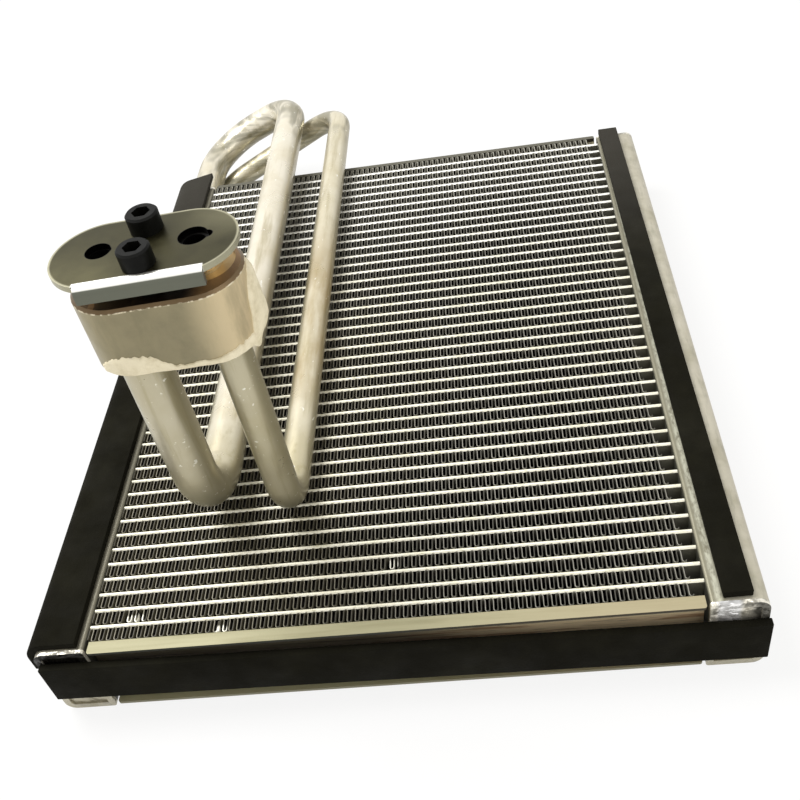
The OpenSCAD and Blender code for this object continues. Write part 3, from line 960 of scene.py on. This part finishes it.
# Fins, tubes
@dataclass
class FinField:
    """The corrugated fins between the tubes, and the tubes' own finish.

    Args:
        rows: number of fin rows.
        period: length of one corrugation, before it is fitted to the row.
        end_gap: room left at the ends of a row.
        slack: how far a row may lie from the left end of its room.
        height: height of a ribbon between two tubes.
        sheet: thickness of the ribbon.
        bottom: lower edge of the ribbons.
        top: upper edge of the ribbons.
        turn_moves: number of moves in each turn of the sheet.
        lit: share of a period, about its middle, where the cut edge catches the light.
        knocks: place and half width of each bent spot, by row.
        knock_depth: how far down a bent spot reaches.
        knock_push: how far its edge is pushed.
        chance: the seeded source of the rows' small shifts.
    """

    rows: int = 43
    period: float = 2.77 * MM
    end_gap: float = 0.9 * MM
    slack: float = 0.6 * MM
    height: float = 5.3 * MM
    sheet: float = 0.32 * MM
    bottom: float = 1.0 * MM
    top: float = 34.5 * MM
    turn_moves: int = 5
    lit: float = 0.32
    knocks: dict[int, tuple[Pair, ...]] = field(
        default_factory=lambda: {
            1: ((-56.1 * MM, 1.6 * MM),),
            2: ((-90.5 * MM, 2.4 * MM), (-86.0 * MM, 1.0 * MM)),
            4: ((3.0 * MM, 1.8 * MM),),
        }
    )
    knock_depth: float = 4 * MM
    knock_push: Triple = (0.5 * MM, 0.2 * MM, -0.3 * MM)
    chance: random.Random = field(default_factory=lambda: random.Random(7))

    def ribbon(self) -> Object:
        """Model one ribbon: a folded period, repeated and given its thickness and finishes.

        Returns:
            The ribbon, which starts at zero along X.
        """
        low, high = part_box("fin_01")
        span = high.x - low.x - self.end_gap
        waves = round(span / self.period)
        period = span / waves
        radius = period / 4
        flank = self.height - self.sheet - 2 * radius
        steps = [Vector((0, flank, 0))]
        steps += arc_steps(radius, 180, 0, self.turn_moves)
        steps += [Vector((0, -flank, 0))]
        steps += arc_steps(radius, 180, 360, self.turn_moves)
        start = Vector((0, -flank / 2, (self.bottom + self.top) / 2))
        obj = folded_sheet("fin_ribbon", start, "Z", self.top - self.bottom, steps)
        apply_modifier(
            obj, "ARRAY", count=waves, use_relative_offset=False, use_constant_offset=True,
            constant_offset_displace=(period, 0, 0), use_merge_vertices=True,
            merge_threshold=0.01 * MM,
        )
        # The sheet's faces and its cut edge each come as a lit copy and a copy painted in shade
        finishes = (Surface.FIN, Surface.FIN_EDGE, Surface.FIN_SHADE, Surface.FIN_RIM)
        dress(obj, *(finish.value.build() for finish in finishes))
        edge = finishes.index(Surface.FIN_EDGE)
        apply_modifier(
            obj, "SOLIDIFY", thickness=self.sheet, offset=0.0,
            material_offset=finishes.index(Surface.FIN_SHADE), material_offset_rim=edge,
        )
        # The cut edge outside the lit share of each period gets the copy painted in shade
        for face in obj.data.polygons:
            turn = (face.center.x / period) % 1.0
            if face.material_index == edge and abs(turn - 0.5) > self.lit / 2:
                face.material_index = finishes.index(Surface.FIN_RIM)
        return obj

    def lay_row(self, row: int, master: Object) -> None:
        """Lay a copy of the ribbon into one row, and bend it where it was knocked.

        Args:
            row: number of the row, from the near end.
            master: the ribbon to copy.
        """
        node = f"fin_{row:02d}"
        low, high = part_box(node)
        piece = master.copy()
        piece.data = master.data.copy()
        bpy.context.scene.collection.objects.link(piece)
        choose(piece)
        shift = self.slack * self.chance.random()
        bpy.ops.transform.translate(value=(low.x + shift, (low.y + high.y) / 2, 0))
        settle(piece, f"fin_ribbon_{row:02d}")
        floor = self.top - self.knock_depth
        for place, width in self.knocks.get(row, ()):
            with editing(piece):
                pick(piece, "verts", lambda v: v.co.z > floor and abs(v.co.x - place) < width)
                bpy.ops.transform.translate(value=self.knock_push)
        smooth(piece, angle=50)
        hand_over(piece, "fins", node)

    def build(self) -> None:
        """Lay a ribbon between each pair of tubes and finish the tubes."""
        master = self.ribbon()
        for row in range(1, self.rows + 1):
            self.lay_row(row, master)
        bpy.data.objects.remove(master)
        Surface.TUBE.dress_nodes("flat_tubes")


# Headers
@dataclass
class Headers:
    """Header plates, tank covers, end caps and side plates."""

    def build(self) -> None:
        """Finish the brazed sheet-metal parts."""
        Surface.HEADER.dress_nodes(
            "left_header_plate", "left_tank_cover", "right_header_plate", "right_tank_cover"
        )
        Surface.SHEET.dress_nodes("near_side_plate", "far_side_plate")
        Surface.CAP.dress_nodes("left_end_caps", "right_end_caps")


# Foam
@dataclass
class FoamSeals:
    """Strips of open-cell foam that seal the core in its case.

    Args:
        thick: thickness of the foam.
        corner: outer radius where the left strip wraps the header.
        corner_moves: number of moves round that corner.
        left_skew: slant of the far end of the left strip in degrees.
        right_size: the right strip's own size.
        right_turn: its turn in degrees.
        near_size: the near strip's own size.
        near_tilt: its slope in degrees.
        worn: width of the worn edges.
    """

    thick: float = 2.9 * MM
    corner: float = 7.0 * MM
    corner_moves: int = 8
    left_skew: float = 20.0
    right_size: Triple = (9.5 * MM, 299.5 * MM, 2.9 * MM)
    right_turn: float = 0.55
    near_size: Triple = (249.3 * MM, 2.9 * MM, 19.1 * MM)
    near_tilt: float = 0.88
    worn: float = 0.35 * MM

    def straight(self, name: str, axis: str, size: Sequence[float], turn: float) -> Object:
        """Model one straight strip, laid a little askew.

        Args:
            name: name of the piece.
            axis: the axis that the strip is turned about, Y or Z.
            size: its own length along X, Y and Z.
            turn: its turn about that axis in degrees.

        Returns:
            The strip.
        """
        low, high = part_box(f"{name}_strip")
        middle = (low + high) / 2
        bpy.ops.object.select_all(action="DESELECT")
        bpy.ops.mesh.primitive_cube_add(size=1, location=middle, scale=size)
        strip = settle(bpy.context.active_object, name)
        with editing(strip):
            bpy.ops.mesh.select_all(action="SELECT")
            bpy.ops.transform.rotate(
                value=-math.radians(turn), orient_axis=axis, orient_type="GLOBAL",
                center_override=middle,
            )
        return strip

    def wrapped(self) -> Object:
        """Model the left strip: flat on the header, round its corner and down its side.

        Returns:
            The strip.
        """
        low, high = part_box("left_foam_strip")
        flat = (high.x - low.x) - self.corner
        drop = (high.z - low.z) - self.corner
        moves = arc_steps(self.corner, 90, 180, self.corner_moves)
        bend = [Vector((move.x, 0, move.y)) for move in moves]
        steps = [Vector((-flat, 0, 0)), *bend, Vector((0, 0, -drop))]
        start = Vector((high.x, (low.y + high.y) / 2, high.z))
        strip = folded_sheet("left_foam", start, "Y", high.y - low.y, steps)
        skew = math.radians(self.left_skew)
        with editing(strip, "FACE"):
            face_outward()
            bpy.ops.mesh.bisect(
                plane_co=(high.x, high.y, high.z),
                plane_no=(-math.sin(skew), math.cos(skew), 0),
                clear_outer=True,
            )
        apply_modifier(strip, "SOLIDIFY", thickness=self.thick, offset=-1.0)
        return strip

    def build(self) -> None:
        """Model the three strips and round their cut edges."""
        foam = Surface.FOAM.value.build()
        strips = (
            self.straight("right_foam", "Z", self.right_size, self.right_turn),
            self.wrapped(),
            self.straight("near_foam", "Y", self.near_size, self.near_tilt),
        )
        for strip in strips:
            apply_modifier(strip, "BEVEL", width=self.worn, segments=2, limit_method="ANGLE")
            smooth(strip, angle=40)
            dress(strip, foam)
            hand_over(strip, "foam", f"{strip.name}_strip")


# Pipes, connector
@dataclass
class Connector:
    """The two pipes, the block that they end in, its plate and screws."""

    def build(self) -> None:
        """Finish the pipes and the connector."""
        Surface.PIPE.dress_nodes("suction_pipe")
        Surface.SMALL_PIPE.dress_nodes("liquid_pipe")
        Surface.BLOCK.dress_nodes("connector_block")
        Surface.PLATE.dress_nodes("retainer_plate")
        Surface.SCREW.dress_nodes("cap_screws")


@dataclass
class FluxCrust:
    """White crust round the foot and the right end of the block, sizes in millimetres.

    Args:
        middle: middle of the block's underside.
        turn: turn of the block in degrees.
        straight: half length of the block's straight sides.
        radius: radius of its round ends.
        heights: place on the unrolled outline, from the middle of the front,
            and height of the crust there.
        swell: place, spread and thickness of each thick spot.
        thin: thickness of the crust elsewhere.
        lump: how far the thickness varies.
        ragged: how far the upper edge varies.
        drip: place, spread and length of the drip below the block.
        under: how far its foot lies below the block.
        sunk: how far its edges lie inside the block.
        taper: length over which it thins out at its ends.
        skin: thickness of its shell.
        columns: number of faces along it.
        levels: number of faces from its foot to its top.
    """

    middle: Triple = (-48.24, -133.85, 128.5)
    turn: float = 4.0
    straight: float = 11.5
    radius: float = 15.0
    heights: tuple[Pair, ...] = (
        (-26, 0.3), (-23, 3.6), (-19, 6.2), (-14, 7.6), (-10, 7.0), (-6, 6.6), (-3, 4.0),
        (0, 1.8), (4, 1.3), (8, 2.0), (12, 1.5), (16, 2.2), (20, 3.2), (24, 3.4), (27, 4.2),
        (28.4, 9.5), (29.6, 15.5), (31.4, 19.5), (34, 22), (38, 23), (44, 22), (49, 12), (54, 0.5),
    )
    swell: tuple[Triple, ...] = ((38, 7, 1.9), (-12, 6, 0.5), (18, 6, 0.4))
    thin: float = 0.45
    lump: float = 0.18
    ragged: float = 0.9
    drip: Triple = (28, 1.8, 2.6)
    under: float = 0.35
    sunk: float = 0.4
    taper: float = 3.0
    skin: float = 0.5
    columns: int = 160
    levels: int = 14

    def height(self, along: float) -> float:
        """Give the height of the crust at a place on the unrolled outline.

        Args:
            along: the place.

        Returns:
            The height.
        """
        for (a, low), (b, high) in zip(self.heights, self.heights[1:]):
            if along <= b:
                return low + (high - low) * max(0.0, along - a) / (b - a)
        return self.heights[-1][1]

    def outline(self, along: float, out: float) -> Vector:
        """Roll a place back onto the block's outline.

        Args:
            along: the place on the unrolled outline.
            out: how far it lies out from the block.

        Returns:
            The point in the block's own frame.
        """
        past = abs(along) - self.straight
        if past <= 0:
            return Vector((along, -self.radius - out, 0))
        angle = past / self.radius
        reach = self.radius + out
        side = math.copysign(1, along)
        return Vector(
            (side * (self.straight + reach * math.sin(angle)), -reach * math.cos(angle), 0)
        )

    def shape(self, along: float, level: float) -> Vector:
        """Give a point of the crust's surface in the block's own frame.

        Args:
            along: the place on the unrolled outline.
            level: 0 at the crust's foot and 1 at its top.

        Returns:
            The point.
        """
        top = self.height(along)
        # The crust thins out at its ends and along its edges
        end = min(along - self.heights[0][0], self.heights[-1][0] - along)
        edge = min(level, 1 - level) * 2
        full = min(1.0, edge * 3) * max(0.0, min(1.0, end / self.taper))
        lump = noise.noise(Vector((along * 0.35, level * top * 0.4, 3.0)))
        thick = self.thin + self.lump * lump
        for place, spread, extra in self.swell:
            thick += extra * (1 - 0.5 * level) * bell(along, place, spread)
        place, spread, length = self.drip
        foot = -self.under - length * bell(along, place, spread)
        ragged = self.ragged * noise.noise(Vector((along * 0.8, 0.0, 9.0)))
        out = (self.sunk + max(0.1, thick)) * math.sqrt(full) - self.sunk
        point = self.outline(along, out)
        point.z = foot + (top + ragged * min(1.0, top / 3) - foot) * level
        return point

    def build(self) -> None:
        """Model the crust as a skin that rises out of the block's side."""
        first, last = self.heights[0][0], self.heights[-1][0]
        places = [first + (last - first) * i / self.columns for i in range(self.columns + 1)]
        flat = [Vector((place, 0, 0)) * MM for place in places]
        steps = [b - a for a, b in zip(flat, flat[1:])]
        # The flat skin is one millimetre high, so that Z in millimetres is the level
        skin = folded_sheet("flux_crust", flat[0] + Vector((0, 0, 0.5 * MM)), "Z", MM, steps)
        with editing(skin, "EDGE"):
            pick(skin, "edges", lambda e: abs(e.verts[0].co.z - e.verts[1].co.z) > 0.5 * MM)
            bpy.ops.mesh.subdivide(number_cuts=self.levels - 1)
        turn = Matrix.Rotation(math.radians(self.turn), 3, "Z")
        for vert in skin.data.vertices:
            point = self.shape(vert.co.x / MM, vert.co.z / MM)
            vert.co = Vector(self.middle) * MM + turn @ (point * MM)
        apply_modifier(skin, "SOLIDIFY", thickness=self.skin * MM, offset=-1.0)
        with editing(skin, "FACE"):
            face_outward()
        smooth(skin, angle=60)
        dress(skin, Surface.FLUX.value.build())
        hand_over(skin, "block")


# Studio
@dataclass
class Studio:
    """Camera, soft lights and a plain white floor.

    Args:
        eye: place of the camera.
        right: direction of the image's right side.
        up: direction of the image's upper side.
        lens: focal length in millimetres.
        sensor: width of the sensor in millimetres.
        near_clip: distance at which the camera begins to see.
        target: the point that the lamps face.
        ambient: level of the light from all round.
        floor_size: side of the floor.
        floor_drop: how far the floor lies below the part.
        floor_glow: share of plain white in what the camera sees of the floor.
    """

    eye: Triple = (0.05526, -0.37125, 0.3152)
    right: Triple = (0.9872, 0.0192, -0.1590)
    up: Triple = (0.1019, 0.6902, 0.7166)
    lens: float = 45.0
    sensor: float = 36.0
    near_clip: float = 10 * MM
    target: Triple = (0, 0, 0.03)
    ambient: float = 0.5
    floor_size: float = 6.0
    floor_drop: float = 0.2 * MM
    floor_glow: float = 0.85

    def camera(self) -> None:
        """Place the camera as the photograph was taken."""
        right = Vector(self.right).normalized()
        back = right.cross(Vector(self.up)).normalized()
        up = back.cross(right)
        data = bpy.data.cameras.new("camera")
        data.lens = self.lens
        data.sensor_width = self.sensor
        data.clip_start = self.near_clip
        camera = bpy.data.objects.new("camera", data)
        turn = Matrix((right, up, back)).transposed().to_4x4()
        camera.matrix_world = Matrix.Translation(Vector(self.eye)) @ turn
        bpy.context.scene.collection.objects.link(camera)
        bpy.context.scene.camera = camera

    def seen_directly(self, nodes: Nodes) -> Socket:
        """Tell camera, mirror and see-through rays from light that scatters.

        Args:
            nodes: the nodes to add to.

        Returns:
            1 for what is seen directly, and 0 for the rest.
        """
        path = nodes.add("LightPath")
        seen = path["Is Camera Ray"]
        for ray in ("Is Glossy Ray", "Is Transmission Ray"):
            seen = nodes.add("Math", {0: seen, 1: path[ray]}, operation="MAXIMUM")[0]
        return seen

    def world(self) -> None:
        """Light the part from all round and show white behind it."""
        world = bpy.data.worlds.new("studio")
        nodes = Nodes(world)
        warm = {"Color": linear("#FFF9EE"), "Strength": self.ambient}
        white = {"Color": linear("#FFFFFF"), "Strength": 1.0}
        mix = {
            0: self.seen_directly(nodes),
            1: nodes.add("Background", warm)[0],
            2: nodes.add("Background", white)[0],
        }
        nodes.add("OutputWorld", {"Surface": nodes.add("MixShader", mix)[0]})
        bpy.context.scene.world = world

    def floor(self) -> None:
        """Lay a white floor that keeps a soft shadow."""
        bpy.ops.object.select_all(action="DESELECT")
        bpy.ops.mesh.primitive_plane_add(size=self.floor_size, location=(0, 0, -self.floor_drop))
        floor = settle(bpy.context.active_object, "floor")
        material = bpy.data.materials.new("white_floor")
        nodes = Nodes(material)
        glow = {0: self.seen_directly(nodes), 1: self.floor_glow}
        white = {"Color": linear("#FFFFFF"), "Strength": 1.0}
        mix = {
            0: nodes.add("Math", glow, operation="MULTIPLY")[0],
            1: nodes.add("BsdfDiffuse", {"Color": linear("#F2F2F0")})[0],
            2: nodes.add("Emission", white)[0],
        }
        nodes.add("OutputMaterial", {"Surface": nodes.add("MixShader", mix)[0]})
        dress(floor, material)

    def lamp(self, name: str, place: Sequence[float], size: float, watts: float) -> None:
        """Hang one square soft light that faces the part.

        Args:
            name: name of the light.
            place: its place in metres.
            size: length of its side.
            watts: its power.
        """
        data = bpy.data.lights.new(name, "AREA")
        data.size = size
        data.energy = watts
        lamp = bpy.data.objects.new(name, data)
        lamp.location = place
        aim = Vector(self.target) - Vector(place)
        lamp.rotation_euler = aim.to_track_quat("-Z", "Y").to_euler()
        bpy.context.scene.collection.objects.link(lamp)

    def build(self) -> None:
        """Set the camera, the lights and the floor."""
        bpy.context.scene.view_settings.view_transform = "Standard"
        self.camera()
        self.world()
        self.floor()
        self.lamp("key_light", (-0.5, 0.15, 1.1), size=0.6, watts=15)
        self.lamp("fill_light", (0.8, -0.6, 0.8), size=0.9, watts=4)


def main() -> None:
    """Build the part's looks and the studio round it."""
    logging.basicConfig(level=logging.INFO, format="%(name)s %(message)s")
    for assembly in (Studio(), FinField(), Headers(), FoamSeals(), Connector(), FluxCrust()):
        assembly.build()


if __name__ == "__main__":
    main()
